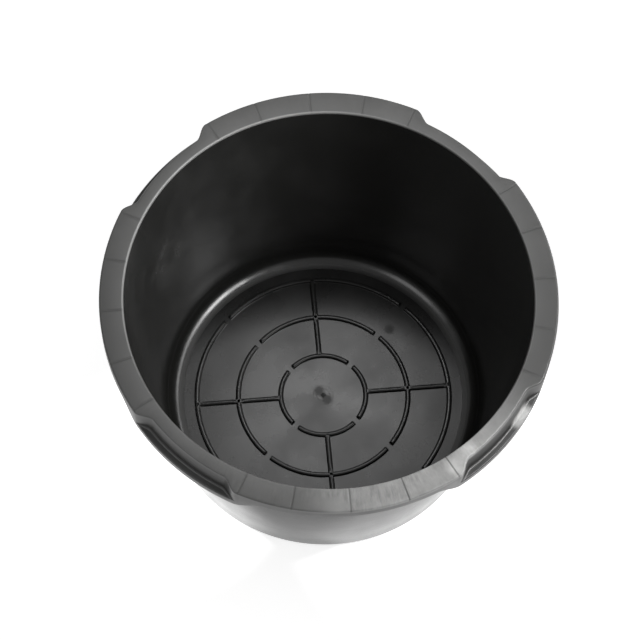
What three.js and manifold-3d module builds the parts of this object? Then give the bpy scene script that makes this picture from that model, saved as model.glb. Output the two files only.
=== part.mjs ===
// A florist bucket, moulded in one piece from black plastic: a tapered wall, a flat rim with
// a short skirt and four scooped hand holds, gussets under the rim, and a floor that curves up
// into the wall and carries four spokes and three broken ring ribs.
//
// Millimetres, +Z up. The origin is the middle of the foot, on the surface it stands on.
// The hand holds lie on the X and Y axes and the floor spokes halfway between them.

import * as THREE from "three";
import { mergeVertices } from "three/addons/utils/BufferGeometryUtils.js";
import Module from "manifold-3d";

const DEG = Math.PI / 180;

// Driving dimensions.
const HEIGHT = 182;
const RIM_RADIUS = 150;
const MOUTH_RADIUS = 134;
const WALL = 2.2;
const WALL_TAPER = 7.55 * DEG;
const CORNER_RADIUS = 12.5;

// The flat rim and the skirt that hangs from its outer edge.
const FLANGE_THICKNESS = 2.2;
const SKIRT_DROP = 9.6;

// Each hand hold sets the rim's outer edge back, over a lower ledge with a skirt of its own.
const HOLD_RADIUS = 143;
const HOLD_HALF_INNER = 11.8 * DEG;
const HOLD_HALF_OUTER = 16.5 * DEG;
const LEDGE_INNER_DROP = 15.5;
const LEDGE_OUTER_DROP = 17;
const LEDGE_SKIRT_DROP = 22.5;

// Gussets under the rim, counted from a floor spoke, five to each quarter.
const GUSSET_ANGLES = [-28 * DEG, -14.5 * DEG, 0, 14.5 * DEG, 28 * DEG];
const GUSSET_THICKNESS = 1.8;
const GUSSET_DEPTH = 6;

// The floor, the fillet between it and the wall, its ribs, and the foot that carries it.
const FLOOR_TOP = 5;
const FILLET_RADIUS = 12;
const FOOT_INNER_RADIUS = 97.5;
const RIB_RADII = [30.6, 61, 90.7];
const RIB_WIDTH = 3;
const RIB_HEIGHT = 1.8;
const RIB_GAP = 2.4;
const GATE_RADIUS = 3.4;
const GATE_HEIGHT = 0.6;

// Fineness of the round shapes.
const RING_STEPS = 72;
const CORNER_STEPS = 6;

// Clearance between a flat-ended gusset and the curved walls on either side of it.
const FIT_GAP = 0.3;

// Worked out from the dimensions above.
const QUARTER = Math.PI / 2;
const FLANGE_BOTTOM = HEIGHT - FLANGE_THICKNESS;
const SKIRT_BOTTOM = HEIGHT - SKIRT_DROP;
const LEDGE_SKIRT_BOTTOM = HEIGHT - LEDGE_SKIRT_DROP;
const WALL_OUTER_TOP = MOUTH_RADIUS + WALL;
const FLOOR_BOTTOM = FLOOR_TOP - WALL;
const WALL_BOTTOM = FLOOR_TOP + FILLET_RADIUS * (1 - Math.sin(WALL_TAPER));

const wasm = await Module();
wasm.setup();

// ---- helpers ----

// Values from one number up to, but not including, another.
function span(from, to, steps) {
  return Array.from({ length: steps }, (_, i) => from + ((to - from) * i) / steps);
}

function polar(radius, angle) {
  return new THREE.Vector2(radius * Math.cos(angle), radius * Math.sin(angle));
}

// Turns a closed outline of radius and height round the Z axis.
function turned(outline) {
  const points = outline.map(([radius, height]) => new THREE.Vector2(radius, height));
  if (outline[0][0] > 0) points.push(points[0].clone());
  return new THREE.LatheGeometry(points, RING_STEPS).rotateX(QUARTER);
}

// Raises a flat shape from one height to another.
function raised(shape, bottom, top) {
  const settings = { depth: top - bottom, bevelEnabled: false, curveSegments: RING_STEPS / 2 };
  return new THREE.ExtrudeGeometry(shape, settings).translate(0, 0, bottom);
}

function toSolid(geometry) {
  const bare = geometry.clone().deleteAttribute("normal").deleteAttribute("uv");
  const merged = mergeVertices(bare, 1e-4);
  return new wasm.Manifold(
    new wasm.Mesh({
      numProp: 3,
      vertProperties: merged.attributes.position.array,
      triVerts: new Uint32Array(merged.index.array),
    }),
  );
}

function toGeometry(solid) {
  const mesh = solid.getMesh();
  const geometry = new THREE.BufferGeometry();
  geometry.setAttribute("position", new THREE.BufferAttribute(mesh.vertProperties, mesh.numProp));
  geometry.setIndex(new THREE.BufferAttribute(mesh.triVerts, 1));
  const flat = geometry.toNonIndexed();
  flat.computeVertexNormals();
  return flat;
}

// ---- materials ----

// Scuffed, slightly greyed plastic on the faces that hands and stacked buckets touch.
function rimPlastic() {
  return new THREE.MeshStandardMaterial({ color: 0x2c2c2b, roughness: 0.5, metalness: 0 });
}

// Smooth black plastic on the walls.
function wallPlastic() {
  return new THREE.MeshStandardMaterial({ color: 0x161615, roughness: 0.32, metalness: 0 });
}

// Satin black plastic on the floor.
function floorPlastic() {
  return new THREE.MeshStandardMaterial({ color: 0x222221, roughness: 0.42, metalness: 0 });
}

// ---- the rim ----

// Outer radius of the rim at an angle. A smooth shoulder leads into each hand hold.
function rimRadiusAt(angle) {
  const fromHold = Math.abs(angle - QUARTER * Math.round(angle / QUARTER));
  const shoulder = THREE.MathUtils.smoothstep(fromHold, HOLD_HALF_INNER, HOLD_HALF_OUTER);
  return HOLD_RADIUS + (RIM_RADIUS - HOLD_RADIUS) * shoulder;
}

// Angles across one hand hold, from shoulder to shoulder, with the last one left off.
function holdAngles() {
  return [
    ...span(-HOLD_HALF_OUTER, -HOLD_HALF_INNER, 5),
    ...span(-HOLD_HALF_INNER, HOLD_HALF_INNER, 6),
    ...span(HOLD_HALF_INNER, HOLD_HALF_OUTER, 5),
  ];
}

// The rim's outline, set in by a distance.
function rimOutline(inset) {
  const toNextHold = span(HOLD_HALF_OUTER, QUARTER - HOLD_HALF_OUTER, 14);
  const points = [];
  for (let quarter = 0; quarter < 4; quarter += 1) {
    for (const angle of [...holdAngles(), ...toNextHold]) {
      const turn = angle + quarter * QUARTER;
      points.push(polar(rimRadiusAt(turn) - inset, turn));
    }
  }
  return points;
}

function rimFlangeGeometry() {
  const shape = new THREE.Shape(rimOutline(0));
  shape.holes.push(new THREE.Path().absarc(0, 0, MOUTH_RADIUS, 0, 2 * Math.PI, true));
  return raised(shape, FLANGE_BOTTOM, HEIGHT);
}

function rimSkirtGeometry() {
  const shape = new THREE.Shape(rimOutline(0));
  shape.holes.push(new THREE.Path(rimOutline(WALL).reverse()));
  return raised(shape, SKIRT_BOTTOM, FLANGE_BOTTOM);
}

// ---- hand holds ----

// Height of the ledge's upper face at a radius.
function ledgeHeightAt(radius) {
  const out = (radius - HOLD_RADIUS) / (RIM_RADIUS - HOLD_RADIUS);
  return HEIGHT - LEDGE_INNER_DROP - out * (LEDGE_OUTER_DROP - LEDGE_INNER_DROP);
}

// A plan shape across one hand hold, between two radii that are functions of the angle.
function holdShape(innerRadiusAt, outerRadiusAt, extraAngle) {
  const angles = [...holdAngles(), HOLD_HALF_OUTER];
  if (extraAngle > 0) {
    angles.unshift(-HOLD_HALF_OUTER - extraAngle);
    angles.push(HOLD_HALF_OUTER + extraAngle);
  }
  const inner = angles.map((angle) => polar(innerRadiusAt(angle), angle));
  const outer = angles.map((angle) => polar(outerRadiusAt(angle), angle));
  return new THREE.Shape([...outer, ...inner.reverse()]);
}

// The hand hold on +X: a back wall, two curved ends, a ledge and the skirt under its edge.
function handHoldSolid() {
  const inside = HOLD_RADIUS - 2 * WALL;
  const outside = RIM_RADIUS + 2 * WALL;
  const skirtInside = RIM_RADIUS - WALL;
  const endAngle = WALL / RIM_RADIUS;
  const block = toSolid(
    raised(
      holdShape((angle) => rimRadiusAt(angle) - WALL, () => RIM_RADIUS, endAngle),
      LEDGE_SKIRT_BOTTOM,
      SKIRT_BOTTOM,
    ),
  );
  const hollow = toSolid(
    turned([
      [inside, LEDGE_SKIRT_BOTTOM - WALL],
      [skirtInside, LEDGE_SKIRT_BOTTOM - WALL],
      [skirtInside, ledgeHeightAt(skirtInside) - WALL],
      [inside, ledgeHeightAt(inside) - WALL],
    ]),
  );
  const scoopPlan = toSolid(
    raised(holdShape(rimRadiusAt, () => outside, 0), LEDGE_SKIRT_BOTTOM, HEIGHT),
  );
  const aboveLedge = toSolid(
    turned([
      [inside, ledgeHeightAt(inside)],
      [outside + WALL, ledgeHeightAt(outside + WALL)],
      [outside + WALL, HEIGHT + WALL],
      [inside, HEIGHT + WALL],
    ]),
  );
  return block.subtract(hollow).subtract(scoopPlan.intersect(aboveLedge));
}

// ---- wall, floor and foot ----

// Radius of the wall's outer face at a height.
function wallRadiusAt(height) {
  return WALL_OUTER_TOP - (FLANGE_BOTTOM - height) * Math.tan(WALL_TAPER);
}

function bucketWallGeometry() {
  const outerBottom = wallRadiusAt(WALL_BOTTOM);
  return turned([
    [outerBottom - WALL, WALL_BOTTOM],
    [outerBottom, WALL_BOTTOM],
    [WALL_OUTER_TOP, FLANGE_BOTTOM],
    [MOUTH_RADIUS, FLANGE_BOTTOM],
  ]);
}

// A round corner that is tangent to a wall face: points from one angle below the horizontal
// to another, on an arc whose lowest point is at the given height.
function cornerArc(faceRadiusAt, radius, lowest, from, to) {
  const centre = faceRadiusAt(lowest + radius) - radius / Math.cos(WALL_TAPER);
  return [...span(from, to, CORNER_STEPS), to].map((below) => [
    centre + radius * Math.cos(below),
    lowest + radius * (1 - Math.sin(below)),
  ]);
}

// Angle below the horizontal at which the outer corner passes the floor's underside.
function footAngle() {
  return Math.asin(1 - FLOOR_BOTTOM / CORNER_RADIUS);
}

// The ring that the bucket stands on, under the floor's edge.
function footRingGeometry() {
  return turned([
    [FOOT_INNER_RADIUS, 0],
    ...cornerArc(wallRadiusAt, CORNER_RADIUS, 0, QUARTER, footAngle()),
    [FOOT_INNER_RADIUS, FLOOR_BOTTOM],
  ]);
}

// The floor, with the rounded corner that leads up into the wall.
function floorPanelGeometry() {
  const innerFace = (height) => wallRadiusAt(height) - WALL;
  return turned([
    [0, FLOOR_BOTTOM],
    ...cornerArc(wallRadiusAt, CORNER_RADIUS, 0, footAngle(), WALL_TAPER),
    [wallRadiusAt(WALL_BOTTOM), WALL_BOTTOM],
    ...cornerArc(innerFace, FILLET_RADIUS, FLOOR_TOP, WALL_TAPER, QUARTER),
    [0, FLOOR_TOP],
  ]);
}

// One spoke on +X, with the quarter of each ring rib that it crosses.
function floorRibSolid() {
  const top = FLOOR_TOP + RIB_HEIGHT;
  const length = RIB_RADII.at(-1) - RIB_RADII[0];
  const spoke = new THREE.BoxGeometry(length, RIB_WIDTH, RIB_HEIGHT);
  spoke.translate(RIB_RADII[0] + length / 2, 0, (FLOOR_TOP + top) / 2);
  let ribs = toSolid(spoke);
  for (const radius of RIB_RADII) {
    const reach = QUARTER / 2 - RIB_GAP / 2 / radius;
    const angles = [...span(-reach, reach, 16), reach];
    const outer = angles.map((angle) => polar(radius + RIB_WIDTH / 2, angle));
    const inner = angles.map((angle) => polar(radius - RIB_WIDTH / 2, angle));
    ribs = ribs.add(toSolid(raised(new THREE.Shape([...outer, ...inner.reverse()]), FLOOR_TOP, top)));
  }
  return ribs;
}

function gateMarkGeometry() {
  const top = FLOOR_TOP + GATE_HEIGHT;
  return turned([
    [0, FLOOR_TOP],
    [GATE_RADIUS, FLOOR_TOP],
    [GATE_RADIUS * 0.8, top],
    [0, top],
  ]);
}

// ---- assembly ----

const bucket = new THREE.Group();

function place(name, geometry, material, turn = 0) {
  const mesh = new THREE.Mesh(geometry, material);
  mesh.name = name;
  mesh.rotation.z = turn;
  bucket.add(mesh);
}

place("bucket_wall", bucketWallGeometry(), wallPlastic());
place("foot_ring", footRingGeometry(), wallPlastic());
place("floor_panel", floorPanelGeometry(), floorPlastic());
place("gate_mark", gateMarkGeometry(), floorPlastic());
place("rim_flange", rimFlangeGeometry(), rimPlastic());
place("rim_skirt", rimSkirtGeometry(), rimPlastic());

const holdGeometry = toGeometry(handHoldSolid());
const ribGeometry = toGeometry(floorRibSolid());
const gussetInner = WALL_OUTER_TOP + FIT_GAP;
const gussetLength = RIM_RADIUS - WALL - FIT_GAP - gussetInner;

for (let quarter = 0; quarter < 4; quarter += 1) {
  const holdTurn = quarter * QUARTER;
  const spokeTurn = holdTurn + QUARTER / 2;
  place(`hand_hold_${quarter + 1}`, holdGeometry, rimPlastic(), holdTurn);
  place(`floor_ribs_${quarter + 1}`, ribGeometry, floorPlastic(), spokeTurn);
  GUSSET_ANGLES.forEach((angle, i) => {
    const gusset = new THREE.BoxGeometry(gussetLength, GUSSET_THICKNESS, GUSSET_DEPTH);
    gusset.translate(gussetInner + gussetLength / 2, 0, FLANGE_BOTTOM - GUSSET_DEPTH / 2);
    place(`rim_gusset_${quarter + 1}_${i + 1}`, gusset, wallPlastic(), spokeTurn + angle);
  });
}

export default bucket;
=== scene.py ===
# Looks of a florist bucket moulded in one piece from black plastic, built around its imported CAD
# model. Metres, +Z up, in the model's own frame: the origin is the middle of the foot, the hand
# holds lie on the X and Y axes, and the floor spokes lie halfway between them.
import math

import bmesh
import bpy
from mathutils import Matrix, Vector


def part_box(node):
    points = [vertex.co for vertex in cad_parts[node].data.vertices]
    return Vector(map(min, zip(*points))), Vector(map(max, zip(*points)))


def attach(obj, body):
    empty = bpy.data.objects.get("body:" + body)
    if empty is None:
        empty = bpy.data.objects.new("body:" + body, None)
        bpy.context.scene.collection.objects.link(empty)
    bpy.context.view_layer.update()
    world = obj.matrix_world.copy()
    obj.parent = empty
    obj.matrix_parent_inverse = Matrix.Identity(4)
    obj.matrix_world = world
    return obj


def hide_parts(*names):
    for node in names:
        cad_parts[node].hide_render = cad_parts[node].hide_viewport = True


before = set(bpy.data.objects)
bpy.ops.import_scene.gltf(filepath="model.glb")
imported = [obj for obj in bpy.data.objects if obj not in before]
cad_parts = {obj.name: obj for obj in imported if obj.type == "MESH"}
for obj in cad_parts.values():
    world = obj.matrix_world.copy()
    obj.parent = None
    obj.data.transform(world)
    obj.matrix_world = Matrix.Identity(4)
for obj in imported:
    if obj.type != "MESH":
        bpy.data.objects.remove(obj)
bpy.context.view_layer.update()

MM = 0.001
DEG = math.pi / 180
QUARTER = math.pi / 2

# Sizes that the CAD model gives.
RIM_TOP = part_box("rim_flange")[1].z
FLANGE_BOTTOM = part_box("rim_flange")[0].z
SKIRT_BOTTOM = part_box("rim_skirt")[0].z
RIM_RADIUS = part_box("hand_hold_1")[1].x
LEDGE_SKIRT_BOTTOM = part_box("hand_hold_1")[0].z
WALL_TOP_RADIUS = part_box("bucket_wall")[1].x
WALL_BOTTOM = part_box("bucket_wall")[0].z
WALL_SLOPE = (WALL_TOP_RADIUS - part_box("floor_panel")[1].x) / (FLANGE_BOTTOM - WALL_BOTTOM)
FLOOR_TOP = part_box("gate_mark")[0].z
FLOOR_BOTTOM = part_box("floor_panel")[0].z
RIB_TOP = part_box("floor_ribs_1")[1].z
GATE_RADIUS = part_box("gate_mark")[1].x
GATE_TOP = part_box("gate_mark")[1].z
GUSSET_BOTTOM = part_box("rim_gusset_1_1")[0].z

# Sizes that the CAD model has but its boxes don't give.
WALL = 2.2 * MM
HOLD_RADIUS = RIM_RADIUS - 7 * MM
HOLD_HALF_INNER = 11.8 * DEG
HOLD_HALF_OUTER = 16.5 * DEG
LEDGE_INNER_DROP = 15.5 * MM
LEDGE_OUTER_DROP = 17 * MM
CORNER_RADIUS = 12.5 * MM
FILLET_RADIUS = 12 * MM
FOOT_INNER_RADIUS = 97.5 * MM
RIB_RADII = [30.6 * MM, 61 * MM, 90.7 * MM]
RIB_GAP = 2.4 * MM
GUSSET_ANGLES = [-28 * DEG, -14.5 * DEG, 0, 14.5 * DEG, 28 * DEG]
GUSSET_THICKNESS = 1.8 * MM

# Finer shape that only the looks have. The rim's skin meets the shell's at the two seams. The back
# wall of a hand hold stands further out at its foot than at its top, and its ledge is nearly level.
OUTER_SEAM = FLANGE_BOTTOM - 3 * MM
MOUTH_SEAM = RIM_TOP - 1.7 * MM
FLOOR_EDGE = 100 * MM
MOUTH_ROUNDING = 1.1 * MM
RIM_ROUNDING = 1.3 * MM
POCKET_END = 17 * DEG
POCKET_END_WIDTH = 0.8 * DEG
LIP_DRAFT_SHARE = 0.3
LEDGE_FALL = 0.3 * MM
SKIRT_RISE_START = 15.5 * DEG
SKIRT_RISE_END = 23 * DEG
SINK_DEPTH = 0.17 * MM
SINK_HALF_WIDTH = 0.75 * MM
SINK_REACH = 0.9 * DEG
DIMPLE_RADIUS = 12 * MM
DIMPLE_DEPTH = 0.2 * MM
LEDGE_FILLET = 2 * MM
LEDGE_ROUNDING = 1 * MM
SKIRT_ROUNDING = 0.6 * MM
UNDERSIDE_ROUNDING = 0.8 * MM
FLANGE_FILLET = 1 * MM
NECK_FILLET = 1.2 * MM
FOOT_ROUNDING = 0.8 * MM
GATE_SINK = 0.2 * MM
GUSSET_OVERLAP = 0.4 * MM
GUSSET_DIP = 1.5 * MM
GUSSET_BEVEL = 0.35 * MM

# The gate nub's outline, as shares of its radius and height, with the roundings.
GATE_PROFILE = [(0, 0, 0), (0.62, 0, 0), (0.3, 1, 0.4 * MM), (0.14, 0.9, 0.2 * MM), (0, 0.7, 0)]

# How finely the curves are divided, how much of a side its arcs may take up, when neighbouring
# points are one, and which edges stay sharp.
RIM_STEPS = 1440
SINK_STEPS = 9
SHELL_STEPS = 360
SHELL_ARC_STEPS = 20
ARC_STEPS = 7
DIMPLE_STEPS = 30
GATE_STEPS = 48
SPOKE_STEPS = 12
RIB_ARC_STEPS = 60
RIB_END_STEPS = 8
GUSSET_EDGE_STEPS = 12
ARC_ROOM = 0.98
MERGE = 1e-7
SHARP_ANGLE = 40 * DEG


# ---- outlines ----

def outer_wall(height):
    """Radius of the wall's outer face at a height."""
    return WALL_TOP_RADIUS - (FLANGE_BOTTOM - height) * WALL_SLOPE


def inner_wall(height):
    """Radius of the wall's inner face at a height."""
    return outer_wall(height) - WALL


def smooth(value, low, high):
    """0 below low, 1 above high, and an S-curve between them."""
    t = min(max((value - low) / (high - low), 0), 1)
    return t * t * (3 - 2 * t)


def rounded(corners, steps=ARC_STEPS):
    """A closed outline of radius and height. Each corner is (radius, height, rounding).

    A rounding is an arc, made smaller where the sides next to it are too short for it.
    """
    points = []
    for i, (r, z, rounding) in enumerate(corners):
        here = Vector((r, z))
        if rounding == 0:
            points.append(here)
            continue
        before, after = corners[i - 1], corners[(i + 1) % len(corners)]
        back = Vector(before[:2]) - here
        ahead = Vector(after[:2]) - here
        turn = math.pi - back.angle(ahead)
        room = [
            side.length * (ARC_ROOM if neighbour[2] == 0 else ARC_ROOM / 2)
            for side, neighbour in ((back, before), (ahead, after))
        ]
        reach = min(rounding * math.tan(turn / 2), *room)
        start = here + back.normalized() * reach
        end = here + ahead.normalized() * reach
        weight = math.cos(turn / 2)
        for step in range(steps + 1):
            t = step / steps
            parts = ((1 - t) ** 2, 2 * t * (1 - t) * weight, t * t)
            points.append((start * parts[0] + here * parts[1] + end * parts[2]) / sum(parts))
    return points


def around(outline, angle):
    """An outline of radius and height, stood up at an angle round the Z axis."""
    return [Vector((p[0] * math.cos(angle), p[0] * math.sin(angle), p[1])) for p in outline]


# ---- meshes ----

def piece_from(name, mesh):
    """An object from a finished bmesh, smooth apart from its sharp edges."""
    bmesh.ops.remove_doubles(mesh, verts=mesh.verts, dist=MERGE)
    bmesh.ops.dissolve_degenerate(mesh, edges=mesh.edges, dist=MERGE)
    bmesh.ops.recalc_face_normals(mesh, faces=mesh.faces)
    data = bpy.data.meshes.new(name)
    mesh.to_mesh(data)
    mesh.free()
    data.shade_smooth()
    data.set_sharp_from_angle(angle=SHARP_ANGLE)
    piece = bpy.data.objects.new(name, data)
    bpy.context.scene.collection.objects.link(piece)
    return piece


def skin(name, rings):
    """A closed skin through a loop of rings, each of which is a closed outline."""
    mesh = bmesh.new()
    grid = [[mesh.verts.new(point) for point in ring] for ring in rings]
    for this, following in zip(grid, grid[1:] + grid[:1]):
        for i in range(len(this)):
            mesh.faces.new((this[i - 1], this[i], following[i], following[i - 1]))
    return piece_from(name, mesh)


def turned(name, outline, steps):
    """An outline turned round the Z axis."""
    return skin(name, [around(outline, 2 * math.pi * i / steps) for i in range(steps)])


# ---- rim and hand holds ----

def from_hold(angle):
    """Angle from the middle of the nearest hand hold."""
    return abs(angle - QUARTER * round(angle / QUARTER))


def sink_at(angle):
    """How far the rim's top sinks over the gussets under it."""
    spoke = QUARTER / 2 + QUARTER * math.floor(angle / QUARTER)
    depth = 0
    for gusset in GUSSET_ANGLES:
        away = (angle - spoke - gusset) * RIM_RADIUS / SINK_HALF_WIDTH
        depth += SINK_DEPTH * math.exp(-away * away)
    return depth


def rim_outline(angle):
    """The rim's section at an angle, from the mouth over the top and down to the skirt.

    Away from the hand holds the ledge closes into the foot of the skirt.
    """
    away = from_hold(angle)
    out = smooth(away, HOLD_HALF_INNER, HOLD_HALF_OUTER)
    past = smooth(away, POCKET_END, POCKET_END + POCKET_END_WIDTH)
    risen = smooth(away, SKIRT_RISE_START, SKIRT_RISE_END)
    lip = HOLD_RADIUS + (RIM_RADIUS - HOLD_RADIUS) * out
    lip_foot = lip + (RIM_RADIUS - lip) * LIP_DRAFT_SHARE

    def height(in_hold, beyond):
        return in_hold + (beyond - in_hold) * past

    top = RIM_TOP - sink_at(angle)
    ledge = RIM_TOP - LEDGE_INNER_DROP
    ledge_inner = height(ledge, SKIRT_BOTTOM + 4 * WALL / 3)
    ledge_outer = height(ledge - LEDGE_FALL, SKIRT_BOTTOM + WALL)
    under_inner = height(ledge - WALL, SKIRT_BOTTOM + 5 * WALL / 3)
    under_outer = height(RIM_TOP - LEDGE_OUTER_DROP - WALL, SKIRT_BOTTOM + WALL)
    bottom = LEDGE_SKIRT_BOTTOM + (SKIRT_BOTTOM - LEDGE_SKIRT_BOTTOM) * risen
    return rounded([
        (inner_wall(MOUTH_SEAM), MOUTH_SEAM, 0),
        (inner_wall(top), top, MOUTH_ROUNDING),
        (lip, top, RIM_ROUNDING),
        (lip_foot, ledge_inner, LEDGE_FILLET),
        (RIM_RADIUS, ledge_outer, LEDGE_ROUNDING),
        (RIM_RADIUS, bottom, SKIRT_ROUNDING),
        (RIM_RADIUS - WALL, bottom, SKIRT_ROUNDING),
        (RIM_RADIUS - WALL, under_outer, UNDERSIDE_ROUNDING),
        (lip - WALL, under_inner, UNDERSIDE_ROUNDING),
        (lip - WALL, FLANGE_BOTTOM, FLANGE_FILLET),
        (outer_wall(FLANGE_BOTTOM), FLANGE_BOTTOM, NECK_FILLET),
        (outer_wall(OUTER_SEAM), OUTER_SEAM, 0),
    ])


def rim_piece():
    """The rim all round, in finer steps across each sink line."""
    angles = [2 * math.pi * i / RIM_STEPS for i in range(RIM_STEPS)]
    for spoke in range(4):
        for gusset in GUSSET_ANGLES:
            middle = QUARTER * (spoke + 0.5) + gusset
            angles = [a for a in angles if abs(a - middle) > SINK_REACH]
            angles += [middle + SINK_REACH * i / SINK_STEPS for i in range(-SINK_STEPS, SINK_STEPS + 1)]
    angles.sort()
    return skin("rim", [around(rim_outline(angle), angle) for angle in angles])


# ---- wall, corner, foot and floor ----

def shell_piece():
    """The wall, the rounded corner and the foot, up to the rim and in to the floor disc."""
    outline = rounded([
        (inner_wall(MOUTH_SEAM), MOUTH_SEAM, 0),
        (inner_wall(FLOOR_TOP), FLOOR_TOP, FILLET_RADIUS),
        (FLOOR_EDGE, FLOOR_TOP, 0),
        (FLOOR_EDGE, FLOOR_BOTTOM, 0),
        (FOOT_INNER_RADIUS, FLOOR_BOTTOM, FOOT_ROUNDING),
        (FOOT_INNER_RADIUS, 0, FOOT_ROUNDING),
        (outer_wall(0), 0, CORNER_RADIUS),
        (outer_wall(OUTER_SEAM), OUTER_SEAM, 0),
    ], SHELL_ARC_STEPS)
    return turned("bucket_shell", outline, SHELL_STEPS)


def floor_piece():
    """The floor inside the fillet, with the shallow dimple round the gate."""
    outline = [(0, FLOOR_BOTTOM), (FLOOR_EDGE, FLOOR_BOTTOM), (FLOOR_EDGE, FLOOR_TOP)]
    for step in range(DIMPLE_STEPS, 0, -1):
        radius = DIMPLE_RADIUS * step / DIMPLE_STEPS
        depth = DIMPLE_DEPTH * (1 + math.cos(math.pi * radius / DIMPLE_RADIUS)) / 2
        outline.append((radius, FLOOR_TOP - depth))
    outline.append((0, FLOOR_TOP - DIMPLE_DEPTH))
    return turned("floor_disc", outline, SHELL_STEPS)


def gate_piece():
    """The broken-off gate: a low nub with a hollow top."""
    base = FLOOR_TOP - DIMPLE_DEPTH - GATE_SINK
    height = GATE_TOP - FLOOR_TOP
    outline = rounded([
        (GATE_RADIUS * out, base + height * up, rounding) for out, up, rounding in GATE_PROFILE
    ])
    return turned("gate_nub", outline, GATE_STEPS)


# ---- ribs on the floor ----

# A rib's section: height above the floor as a share of the rib's, and half its width in mm.
RIB_LEVELS = [(-0.2, 1.95), (0, 1.95), (0.04, 1.75), (0.12, 1.62), (0.8, 1.38), (0.94, 1.28), (1, 1.05)]


def bead(path, sides):
    """A round-ended rib along a path. Sides are the directions across the path at its points."""
    mesh = bmesh.new()
    levels = []
    for share, half in RIB_LEVELS:
        z = FLOOR_TOP + share * (RIB_TOP - FLOOR_TOP)
        half *= MM
        ring = [p + s * half for p, s in zip(path, sides)]
        for end, side in ((path[-1], sides[-1]), (path[0], -sides[0])):
            for step in range(1, RIB_END_STEPS):
                turn = Matrix.Rotation(-math.pi * step / RIB_END_STEPS, 2)
                ring.append(end + turn @ (side * half))
            if end is path[-1]:
                ring += [p - s * half for p, s in zip(reversed(path), reversed(sides))]
        levels.append([mesh.verts.new((p.x, p.y, z)) for p in ring])
    for low, high in zip(levels, levels[1:]):
        for i in range(len(low)):
            mesh.faces.new((low[i - 1], low[i], high[i], high[i - 1]))
    count = len(path)
    for ring in (levels[0], levels[-1]):
        for i in range(count - 1):
            across = len(ring) - RIB_END_STEPS - i
            mesh.faces.new((ring[i], ring[i + 1], ring[across - 1], ring[across]))
        mesh.faces.new(ring[count - 1:count + RIB_END_STEPS])
        mesh.faces.new(ring[len(ring) - RIB_END_STEPS:] + ring[:1])
    return mesh


def floor_ribs_piece(number):
    """One spoke, joined to the quarter of each ring rib that it crosses."""
    middle = QUARTER * (number - 0.5)
    inner, outer = RIB_RADII[0], RIB_RADII[-1]
    along = Vector((math.cos(middle), math.sin(middle)))
    across = Vector((along.y, -along.x))
    path = [along * (inner + (outer - inner) * i / SPOKE_STEPS) for i in range(SPOKE_STEPS + 1)]
    whole = piece_from(f"floor_rib_group_{number}", bead(path, [across] * len(path)))
    for radius in RIB_RADII:
        reach = QUARTER / 2 - (RIB_GAP / 2 + RIB_LEVELS[1][1] * MM * 0.6) / radius
        angles = [middle - reach + 2 * reach * i / RIB_ARC_STEPS for i in range(RIB_ARC_STEPS + 1)]
        out = [Vector((math.cos(a), math.sin(a))) for a in angles]
        arc = piece_from("rib_arc", bead([o * radius for o in out], out))
        join(whole, arc)
    return whole


def join(whole, part):
    """Adds a closed part to a closed whole by a boolean union, and removes the part."""
    union = whole.modifiers.new("union", "BOOLEAN")
    union.operation = "UNION"
    union.solver = "EXACT"
    union.object = part
    depsgraph = bpy.context.evaluated_depsgraph_get()
    joined = bpy.data.meshes.new_from_object(whole.evaluated_get(depsgraph))
    whole.modifiers.clear()
    whole.data = joined
    bpy.data.objects.remove(part)
    joined.shade_smooth()
    joined.set_sharp_from_angle(angle=SHARP_ANGLE)


# ---- gussets under the rim ----

def gusset_piece(quarter, index):
    """A thin web between the wall, the flange and the skirt, with a hollow lower edge."""
    inside = outer_wall(GUSSET_BOTTOM) - GUSSET_OVERLAP
    outside = RIM_RADIUS - WALL + GUSSET_OVERLAP
    top = FLANGE_BOTTOM + GUSSET_OVERLAP
    edge = []
    for step in range(GUSSET_EDGE_STEPS + 1):
        t = step / GUSSET_EDGE_STEPS
        z = GUSSET_BOTTOM + GUSSET_DIP * math.sin(math.pi * t)
        edge.append((inside + (outside - inside) * t, z))
    outline = [(inside, top)] + edge + [(outside, top)]
    mesh = bmesh.new()
    faces = []
    for side in (-0.5, 0.5):
        y = side * GUSSET_THICKNESS
        faces.append(mesh.faces.new([mesh.verts.new((x, y, z)) for x, z in outline]))
    low, high = (list(face.verts) for face in faces)
    for i in range(len(outline)):
        mesh.faces.new((low[i - 1], low[i], high[i], high[i - 1]))
    edges = [e for f in faces for e in f.edges]
    bmesh.ops.bevel(mesh, geom=edges, offset=GUSSET_BEVEL, segments=3, profile=0.5, affect="EDGES")
    angle = QUARTER * (quarter - 0.5) + GUSSET_ANGLES[index - 1]
    mesh.transform(Matrix.Rotation(angle, 4, "Z"))
    return piece_from(f"gusset_{quarter}_{index}", mesh)


# ---- materials ----

RIM_MIDDLE = (WALL_TOP_RADIUS + RIM_RADIUS) / 2
MOUTH = inner_wall(RIM_TOP)

# Sides of the bucket: the angle of the middle, and how far to each side of it they reach.
FRONT_SIDE = (-60 * DEG, 70 * DEG)
# Painted light: the rim's top is made paler on these three sides, most on its lit front right.
MOST_LIT_SIDE = (-21 * DEG, 40 * DEG)
FRONT_LIT_SIDE = (-52 * DEG, 34 * DEG)
BACK_LIT_SIDE = (130 * DEG, 100 * DEG)
# Painted highlight: the side where the mouth edge is made paler most.
EDGE_HIGHLIGHT_SIDE = (177 * DEG, 80 * DEG)
PLAIN_SINK_SIDE = (-50 * DEG, 80 * DEG)
# Painted light: the inside's back left is made paler; the haze is heaviest there too.
LIT_HAZY_SIDE = (-172 * DEG, 80 * DEG)
# Painted light: the inside's right side is made paler.
PAINTED_LIGHT_RIGHT_SIDE = (45 * DEG, 80 * DEG)
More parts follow.
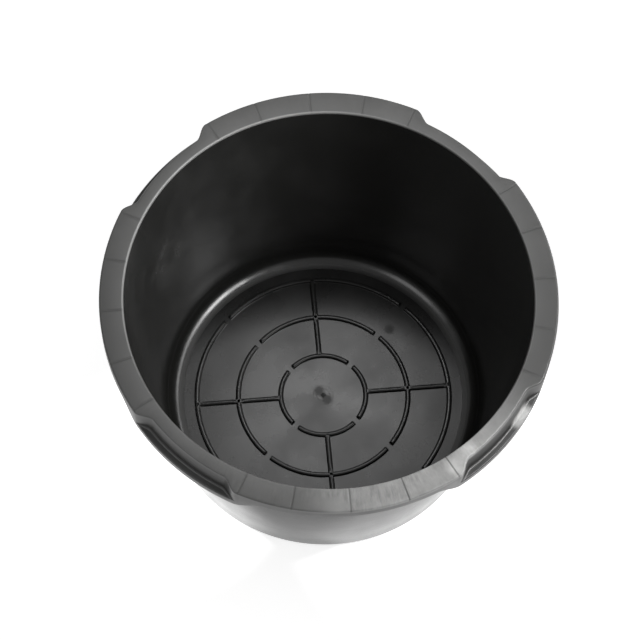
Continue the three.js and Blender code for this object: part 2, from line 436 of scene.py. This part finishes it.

# Marked places: angle, radius, height and size.
# Painted glints: two pale spots on the rim's top at the front right.
RIM_GLINTS = [(-11.5 * DEG, 139.5 * MM, RIM_TOP, 11 * MM), (-16 * DEG, 143 * MM, RIM_TOP, 10 * MM)]
# Painted reflection of the sky: two pale spots on the ledge of the hand hold on +X.
LEDGE_REFLECTIONS = [(angle, 146 * MM, RIM_TOP - 16.3 * MM, 8 * MM) for angle in (6 * DEG, 9 * DEG)]
# Painted reflection: a pale cloudy patch on the inner wall at the back left.
WALL_PAINTED_REFLECTION = (-169 * DEG, 126 * MM, 120 * MM, 50 * MM)
BESIDE_GATE = [(angle, 4.4 * MM, FLOOR_TOP, 5.5 * MM) for angle in (171.6 * DEG, -8.4 * DEG)]
BLEMISH = (87 * DEG, 71 * MM, FLOOR_TOP, 5.5 * MM)

# Spacing of the flow rings round the gate, and the depth of each plastic's fine surface.
FLOW_RING = 2.4 * MM
RIM_RELIEF = 0.02 * MM
WALL_RELIEF = 0.5 * MM
FLOOR_RELIEF = 0.3 * MM


def node(tree, kind, **settings):
    """A new node with its settings."""
    made = tree.nodes.new(kind)
    for name, value in settings.items():
        setattr(made, name, value)
    return made


def feed(tree, made, values):
    """Sets a node's inputs in order, each to a fixed value or to another node's output."""
    for socket, value in zip(made.inputs, values):
        if isinstance(value, bpy.types.NodeSocket):
            tree.links.new(value, socket)
        else:
            socket.default_value = value
    return made


def maths(tree, operation, *values):
    """The output of a maths node."""
    return feed(tree, node(tree, "ShaderNodeMath", operation=operation), values).outputs[0]


def vector_maths(tree, operation, *values):
    """The output of a vector maths node: a number for a product or a length, else a vector."""
    made = feed(tree, node(tree, "ShaderNodeVectorMath", operation=operation), values)
    return made.outputs["Value" if operation in ("DOT_PRODUCT", "LENGTH", "DISTANCE") else "Vector"]


def eased(tree, value, low, high, out_low=0.0, out_high=1.0):
    """An S-curve from one output value to another as the input goes from low to high."""
    made = node(tree, "ShaderNodeMapRange", interpolation_type="SMOOTHSTEP")
    return feed(tree, made, (value, low, high, out_low, out_high)).outputs[0]


def total(tree, *values):
    """The sum of products: each value is an output and its share."""
    result = 0.0
    for value, share in values:
        result = maths(tree, "MULTIPLY_ADD", value, share, result)
    return result


def noise(tree, vector, scale, detail=2.0, roughness=0.5):
    """Noise around 0.5 at a place."""
    made = node(tree, "ShaderNodeTexNoise")
    tree.links.new(vector, made.inputs["Vector"])
    made.inputs["Scale"].default_value = scale
    made.inputs["Detail"].default_value = detail
    made.inputs["Roughness"].default_value = roughness
    return made.outputs[0]


class Place:
    """Where a point of the surface is: its position, direction from the axis, radius and height."""

    def __init__(self, tree):
        self.tree = tree
        self.position = node(tree, "ShaderNodeTexCoord").outputs["Object"]
        flat = vector_maths(tree, "MULTIPLY", self.position, (1, 1, 0))
        self.direction = vector_maths(tree, "NORMALIZE", flat)
        self.radius = vector_maths(tree, "LENGTH", flat)
        self.height = vector_maths(tree, "DOT_PRODUCT", self.position, (0, 0, 1))

    def wrapped(self, around, outwards, upwards):
        """A vector for noise that is stretched along the radius or the height, without a seam."""
        level = total(self.tree, (self.radius, outwards), (self.height, upwards))
        lifted = feed(self.tree, node(self.tree, "ShaderNodeCombineXYZ"), (0, 0, level)).outputs[0]
        scale = node(self.tree, "ShaderNodeVectorMath", operation="SCALE")
        spread = feed(self.tree, scale, (self.direction,))
        spread.inputs["Scale"].default_value = around
        return vector_maths(self.tree, "ADD", spread.outputs[0], lifted)

    def side(self, angle, half_width):
        """1 on one side of the bucket, easing to 0 at a half width from it."""
        towards = (math.cos(angle), math.sin(angle), 0)
        along = vector_maths(self.tree, "DOT_PRODUCT", self.direction, towards)
        return eased(self.tree, along, math.cos(half_width), 1)

    def spot(self, angle, radius, height, size):
        """1 at a point, easing to 0 at a distance from it."""
        centre = (radius * math.cos(angle), radius * math.sin(angle), height)
        away = vector_maths(self.tree, "DISTANCE", self.position, centre)
        return eased(self.tree, away, size, 0.2 * size)


def plastic(name, dark, pale, paling, roughness, relief, depth, specular=0.5):
    """Moulded plastic, made paler by wear and painted light; relief of a given depth makes its fine
    surface.
    """
    material = bpy.data.materials.new(name)
    material.use_nodes = True
    tree = material.node_tree
    shader = tree.nodes["Principled BSDF"]
    shader.inputs["Specular IOR Level"].default_value = specular
    place = Place(tree)
    paleness = maths(tree, "MAXIMUM", maths(tree, "MINIMUM", paling(tree, place), 1), 0)
    tint = node(tree, "ShaderNodeMix", data_type="RGBA")
    tree.links.new(paleness, tint.inputs[0])
    tint.inputs[6].default_value = (*dark, 1)
    tint.inputs[7].default_value = (*pale, 1)
    tree.links.new(tint.outputs[2], shader.inputs["Base Color"])
    tree.links.new(roughness(tree, place, paleness), shader.inputs["Roughness"])
    bump = node(tree, "ShaderNodeBump")
    bump.inputs["Strength"].default_value = 1
    bump.inputs["Distance"].default_value = depth
    tree.links.new(relief(tree, place), bump.inputs["Height"])
    tree.links.new(bump.outputs[0], shader.inputs["Normal"])
    return material


def sunk(tree, place):
    """1 along the sink lines over the gussets, where nothing rubs, and fading in places."""
    across, along, _ = feed(tree, node(tree, "ShaderNodeSeparateXYZ"), (place.position,)).outputs
    angle = maths(tree, "FLOORED_MODULO", maths(tree, "ARCTAN2", along, across), QUARTER)
    nearest = QUARTER
    for gusset in GUSSET_ANGLES:
        away = maths(tree, "ABSOLUTE", maths(tree, "SUBTRACT", angle, QUARTER / 2 + gusset))
        nearest = maths(tree, "MINIMUM", nearest, away)
    line = eased(tree, nearest, 0.3 * DEG, 0.1 * DEG)
    fading = eased(tree, noise(tree, place.position, 30, 1), 0.35, 0.6, 0.3, 1)
    plainer = total(tree, (place.side(*PLAIN_SINK_SIDE), 0.75), (1.0, 0.2))
    return maths(tree, "MULTIPLY", maths(tree, "MULTIPLY", line, fading), plainer)


def rim_wear_and_painted_light(tree, place):
    """Scuffs on the rim's top, with painted light: they are heaviest on the lit front right."""
    scratches = noise(tree, place.wrapped(0.5 * RIM_MIDDLE / MM, 110, 30), 1, 4, 0.65)
    blotches = noise(tree, place.position, 45, 4, 0.6)
    clouds = eased(tree, noise(tree, place.position, 70, 2), 0.35, 0.62)
    fine = noise(tree, place.position, 420, 2)
    front = place.side(*FRONT_SIDE)
    # Painted light: the scuffs are made paler on the lit sides, with two painted glints.
    lit_sides_and_glints = total(
        tree,
        (place.side(*MOST_LIT_SIDE), 0.39),
        (place.side(*FRONT_LIT_SIDE), 0.02),
        (place.side(*BACK_LIT_SIDE), 0.07),
        (front, 0.03),
        (place.spot(*RIM_GLINTS[0]), 0.4),
        (place.spot(*RIM_GLINTS[1]), 0.5),
    )
    scratched = maths(tree, "MULTIPLY", total(tree, (scratches, 1.0), (1.0, -0.5)), front)
    streaks = maths(tree, "MULTIPLY", scratched, clouds)
    patchy = total(tree, (blotches, 1.5), (streaks, 1.7), (fine, 0.2), (1.0, 0.1))
    on_top = eased(tree, place.height, RIM_TOP - 5 * MM, RIM_TOP - 1 * MM)
    patchy_lightening = maths(tree, "MULTIPLY", maths(tree, "MULTIPLY", lit_sides_and_glints, patchy), on_top)
    # Painted reflection of the sky on that hand hold's ledge.
    ledge = total(tree, (place.spot(*LEDGE_REFLECTIONS[0]), 0.7), (place.spot(*LEDGE_REFLECTIONS[1]), 0.9))
    ledge_reflection = maths(tree, "MULTIPLY", ledge, eased(tree, blotches, 0.3, 0.55))
    # Painted highlight along the mouth's rounded edge, strongest on the back left, over a little wear all
    # round.
    edge = maths(tree, "MULTIPLY", eased(tree, place.radius, MOUTH + 1.5 * MM, MOUTH + 0.5 * MM), on_top)
    edge_highlight_share = total(tree, (place.side(*EDGE_HIGHLIGHT_SIDE), 0.4), (1.0, 0.08))
    edge_highlight_and_wear = maths(tree, "MULTIPLY", edge, edge_highlight_share)
    marked = total(
        tree,
        (patchy_lightening, 1.0),
        (ledge_reflection, 1.1),
        (blotches, 0.03),
        (on_top, 0.048),
        (streaks, 0.06),
        (edge_highlight_and_wear, 1.0),
    )
    return maths(tree, "MULTIPLY", marked, total(tree, (sunk(tree, place), -0.75), (1.0, 1.0)))


def rim_roughness(tree, place, paleness):
    """Satin, and rougher where wear and painted light make it paler."""
    return total(tree, (paleness, 0.2), (noise(tree, place.position, 90, 3), 0.14), (1.0, 0.29))


def rim_relief(tree, place):
    """Fine scratches along the rim, over a fine grain."""
    scratches = noise(tree, place.wrapped(1.1 * RIM_MIDDLE / MM, 70, 40), 1, 3, 0.6)
    grain = noise(tree, place.position, 1600, 2)
    return total(tree, (scratches, 0.6), (grain, 0.4))


def wall_haze_and_painted_light(tree, place):
    """A haze of dried water in soft smears, and painted light that makes the inside's back left paler."""
    smears = noise(tree, place.wrapped(3.2, 0, 13), 1, 2, 0.5)
    haze = eased(tree, total(tree, (smears, 0.5), (noise(tree, place.position, 24, 3), 0.5)), 0.42, 0.66)
    lit_hazy_side = place.side(*LIT_HAZY_SIDE)
    cloudy = eased(tree, noise(tree, place.position, 38, 3, 0.55), 0.42, 0.7)
    # Painted reflection as a pale cloudy patch on the inner wall.
    patchy_lightening = maths(tree, "MULTIPLY", place.spot(*WALL_PAINTED_REFLECTION), cloudy)
    dirty = total(
        tree,
        (maths(tree, "MULTIPLY", haze, lit_hazy_side), 0.1),
        # Painted light: the whole back left made paler.
        (lit_hazy_side, 0.1),
        (haze, 0.02),
        (patchy_lightening, 0.26),
        # Painted light: the right side of the inside made paler.
        (place.side(*PAINTED_LIGHT_RIGHT_SIDE), 0.08),
        (1.0, 0.02),
    )
    return maths(tree, "MULTIPLY", dirty, eased(tree, place.height, 8 * MM, 45 * MM))


def wall_roughness(tree, place, paleness):
    """A little rougher in the corner than on the wall, and more so where it meets the floor."""
    low_down = eased(tree, place.height, 30 * MM, 15 * MM)
    at_floor = eased(tree, place.height, FLOOR_TOP + 0.6 * MM, FLOOR_TOP + 0.1 * MM)
    uneven = noise(tree, place.wrapped(14, 0, 30), 1, 3)
    return total(tree, (paleness, 0.25), (low_down, 0.05), (at_floor, 0.25), (uneven, 0.1), (1.0, 0.14))


def wall_relief(tree, place):
    """The slight waviness of a thin moulded wall, with faint rings from the turned mould."""
    waves = noise(tree, place.wrapped(4.5, 0, 26), 1, 1)
    rings = noise(tree, place.wrapped(3, 0, 420), 1, 2)
    high_up = eased(tree, place.height, 15 * MM, 40 * MM)
    return total(tree, (waves, 1.0), (maths(tree, "MULTIPLY", rings, high_up), 0.06))


def floor_wear(tree, place):
    """Smudges, with one small blemish beside the middle ring rib."""
    smudges = noise(tree, place.position, 34, 4, 0.6)
    specks = noise(tree, place.position, 260, 2)
    blemish = maths(tree, "MULTIPLY", place.spot(*BLEMISH), eased(tree, specks, 0.45, 0.6))
    return total(tree, (eased(tree, smudges, 0.35, 0.75), 0.35), (specks, 0.08), (blemish, 0.5))


def floor_roughness(tree, place, paleness):
    """Satin, and rougher on each side of the gate and at the blemish."""
    dried = eased(tree, noise(tree, place.position, 22, 3), 0.4, 0.7)
    beside_gate = total(
        tree,
        (place.spot(*BESIDE_GATE[0]), 0.1),
        (place.spot(*BESIDE_GATE[1]), 0.1),
        (place.spot(*BLEMISH), 0.12),
    )
    return total(tree, (paleness, 0.1), (dried, 0.03), (beside_gate, 1.0), (1.0, 0.2))


def floor_relief(tree, place):
    """The floor's slow waves, and the rings that the flow from the gate has left."""
    waves = noise(tree, place.position, 18, 1)
    turn = maths(tree, "SINE", maths(tree, "MULTIPLY", place.radius, 2 * math.pi / FLOW_RING))
    near = eased(tree, place.radius, 22 * MM, 6 * MM)
    rings = maths(tree, "MULTIPLY", turn, near)
    return total(tree, (waves, 1.0), (rings, 0.02), (noise(tree, place.position, 300, 2), 0.02))


rim_plastic = plastic(
    "rim_plastic", (0.012, 0.012, 0.0115), (0.32, 0.32, 0.315),
    rim_wear_and_painted_light, rim_roughness, rim_relief, RIM_RELIEF,
)
wall_plastic = plastic(
    "wall_plastic", (0.007, 0.007, 0.0065), (0.09, 0.09, 0.088),
    wall_haze_and_painted_light, wall_roughness, wall_relief, WALL_RELIEF,
)
floor_plastic = plastic(
    "floor_plastic", (0.005, 0.005, 0.0048), (0.022, 0.022, 0.0215),
    floor_wear, floor_roughness, floor_relief, FLOOR_RELIEF, specular=0.25,
)


# ---- the pieces ----

pieces = []


def dress(piece, slot, material, *nodes):
    """Gives a piece its material and lets it stand for CAD nodes on the one body; slot is not used."""
    pieces.append(piece)
    piece.data.materials.clear()
    piece.data.materials.append(material)
    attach(piece, "root")
    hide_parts(*nodes)


dress(
    rim_piece(), "rim_plastic", rim_plastic,
    "rim_flange", "rim_skirt", "hand_hold_1", "hand_hold_2", "hand_hold_3", "hand_hold_4",
)
dress(shell_piece(), "wall_plastic", wall_plastic, "bucket_wall", "foot_ring")
dress(floor_piece(), "floor_plastic", floor_plastic, "floor_panel")
dress(gate_piece(), "floor_plastic", floor_plastic, "gate_mark")
for quarter in (1, 2, 3, 4):
    dress(floor_ribs_piece(quarter), "floor_plastic", floor_plastic, f"floor_ribs_{quarter}")
    for index in (1, 2, 3, 4, 5):
        dress(gusset_piece(quarter, index), "wall_plastic", wall_plastic, f"rim_gusset_{quarter}_{index}")


# ---- camera ----

CAMERA_AZIMUTH = 36.615 * DEG
CAMERA_ELEVATION = 65.733 * DEG
CAMERA_DISTANCE = 1.5685
CAMERA_ROLL = 3.387 * DEG
CAMERA_LENS = 135.3
CAMERA_SENSOR = 36
AIM_LEFT = 6.02 * MM
AIM_DOWN = 16.88 * MM


def seen_from(azimuth, elevation):
    """Direction from the bucket to a viewer or lamp. Azimuth 0 is in front, at -Y."""
    return Vector((
        math.sin(azimuth) * math.cos(elevation),
        -math.cos(azimuth) * math.cos(elevation),
        math.sin(elevation),
    ))


def add_camera():
    """The camera that looks down into the bucket from the front right."""
    back = seen_from(CAMERA_AZIMUTH, CAMERA_ELEVATION)
    right = Vector((math.cos(CAMERA_AZIMUTH), math.sin(CAMERA_AZIMUTH), 0))
    up = back.cross(right)
    turn = Matrix.Rotation(CAMERA_ROLL, 3, back)
    right, up = turn @ right, turn @ up
    rim_centre = Vector((0, 0, RIM_TOP))
    place = rim_centre + back * CAMERA_DISTANCE
    aim = rim_centre - right * AIM_LEFT - up * AIM_DOWN
    back = (place - aim).normalized()
    right = up.cross(back).normalized()
    up = back.cross(right)
    camera = bpy.data.objects.new("camera", bpy.data.cameras.new("camera"))
    camera.data.lens = CAMERA_LENS
    camera.data.sensor_width = CAMERA_SENSOR
    camera.matrix_world = Matrix((
        (right.x, up.x, back.x, place.x),
        (right.y, up.y, back.y, place.y),
        (right.z, up.z, back.z, place.z),
        (0, 0, 0, 1),
    ))
    bpy.context.scene.collection.objects.link(camera)
    bpy.context.scene.camera = camera


# ---- stage and light ----

WORLD_LEVEL = 0.5
STUDIO_FLOOR_RADIUS = 6
STUDIO_FLOOR_DROP = 0.2 * MM
STUDIO_FLOOR_GLOW = 0.7
SPOT_ELEVATION = 75 * DEG
SPOT_DISTANCE = 1.2
SPOT_SIZE = 0.02


def hang(light, location, direction):
    """Hangs a light in a place, with its back to a direction."""
    lamp = bpy.data.objects.new(light.name, light)
    lamp.location = location
    lamp.rotation_mode = "QUATERNION"
    lamp.rotation_quaternion = direction.to_track_quat("Z", "Y")
    bpy.context.scene.collection.objects.link(lamp)
    return lamp


def add_lamp(name, azimuth, elevation, distance, width, height, power):
    """A soft box that looks at the bucket. Its azimuth is counted from the camera's."""
    direction = seen_from(CAMERA_AZIMUTH + azimuth, elevation)
    light = bpy.data.lights.new(name, "AREA")
    light.shape = "RECTANGLE"
    light.size = width
    light.size_y = height
    light.energy = power
    return hang(light, Vector((0, 0, RIM_TOP)) + direction * distance, direction)


def add_floor_spot(name, azimuth, radius, reach, blend, power):
    """A lamp high above the floor that lights a round patch of it beside the bucket."""
    direction = seen_from(CAMERA_AZIMUTH + azimuth, SPOT_ELEVATION)
    light = bpy.data.lights.new(name, "SPOT")
    light.spot_size = 2 * math.atan(reach / SPOT_DISTANCE)
    light.spot_blend = blend
    light.shadow_soft_size = SPOT_SIZE
    light.energy = power
    spot = seen_from(CAMERA_AZIMUTH + azimuth, 0) * radius
    return hang(light, spot + direction * SPOT_DISTANCE, direction)


def add_floor():
    """The studio floor. Its own light keeps it white, so that the shadow on it hardly shows."""
    mesh = bmesh.new()
    bmesh.ops.create_circle(mesh, cap_ends=True, radius=STUDIO_FLOOR_RADIUS, segments=96)
    data = bpy.data.meshes.new("studio_floor")
    mesh.to_mesh(data)
    mesh.free()
    floor = bpy.data.objects.new("studio_floor", data)
    floor.location.z = -STUDIO_FLOOR_DROP
    bpy.context.scene.collection.objects.link(floor)
    material = bpy.data.materials.new("studio_white")
    material.use_nodes = True
    shader = material.node_tree.nodes["Principled BSDF"]
    shader.inputs["Base Color"].default_value = (0.8, 0.8, 0.8, 1)
    shader.inputs["Roughness"].default_value = 1
    shader.inputs["Emission Color"].default_value = (1, 1, 1, 1)
    shader.inputs["Emission Strength"].default_value = STUDIO_FLOOR_GLOW
    data.materials.append(material)
    return floor


def light_only(name, things, lamps):
    """Lets the lamps light these things alone. Everything still casts its shadow on them."""
    lit = bpy.data.collections.new(name)
    for thing in things:
        lit.objects.link(thing)
    for lamp in lamps:
        lamp.light_linking.receiver_collection = lit


def add_world():
    """Even white light from all round."""
    world = bpy.data.worlds.new("studio")
    world.use_nodes = True
    background = world.node_tree.nodes["Background"]
    background.inputs["Color"].default_value = (1, 1, 1, 1)
    background.inputs["Strength"].default_value = WORLD_LEVEL
    bpy.context.scene.world = world


add_camera()
add_world()
# Lamps on the bucket: azimuth, elevation, distance, width, height and power.
light_only("bucket_lit", pieces, [
    add_lamp("back_top", 180 * DEG, 66.5 * DEG, 1.6, 0.24, 0.24, 2.9),
    add_lamp("right_wide", 103 * DEG, 40 * DEG, 1.5, 2.0, 0.55, 20),
    add_lamp("right_core", 78 * DEG, 50 * DEG, 1.4, 0.45, 0.45, 14),
    add_lamp("left", -55 * DEG, 47 * DEG, 1.6, 0.7, 0.7, 4),
])
# Lamps on the floor, whose patches the outer wall mirrors: azimuth, radius, reach, blend and power.
light_only("floor_lit", [add_floor()], [
    add_floor_spot("floor_right", 55 * DEG, 125 * MM, 112 * MM, 0.04, 42),
    add_floor_spot("floor_left", -58 * DEG, 125 * MM, 78 * MM, 0.2, 78),
])
bpy.context.scene.view_settings.view_transform = "Standard"
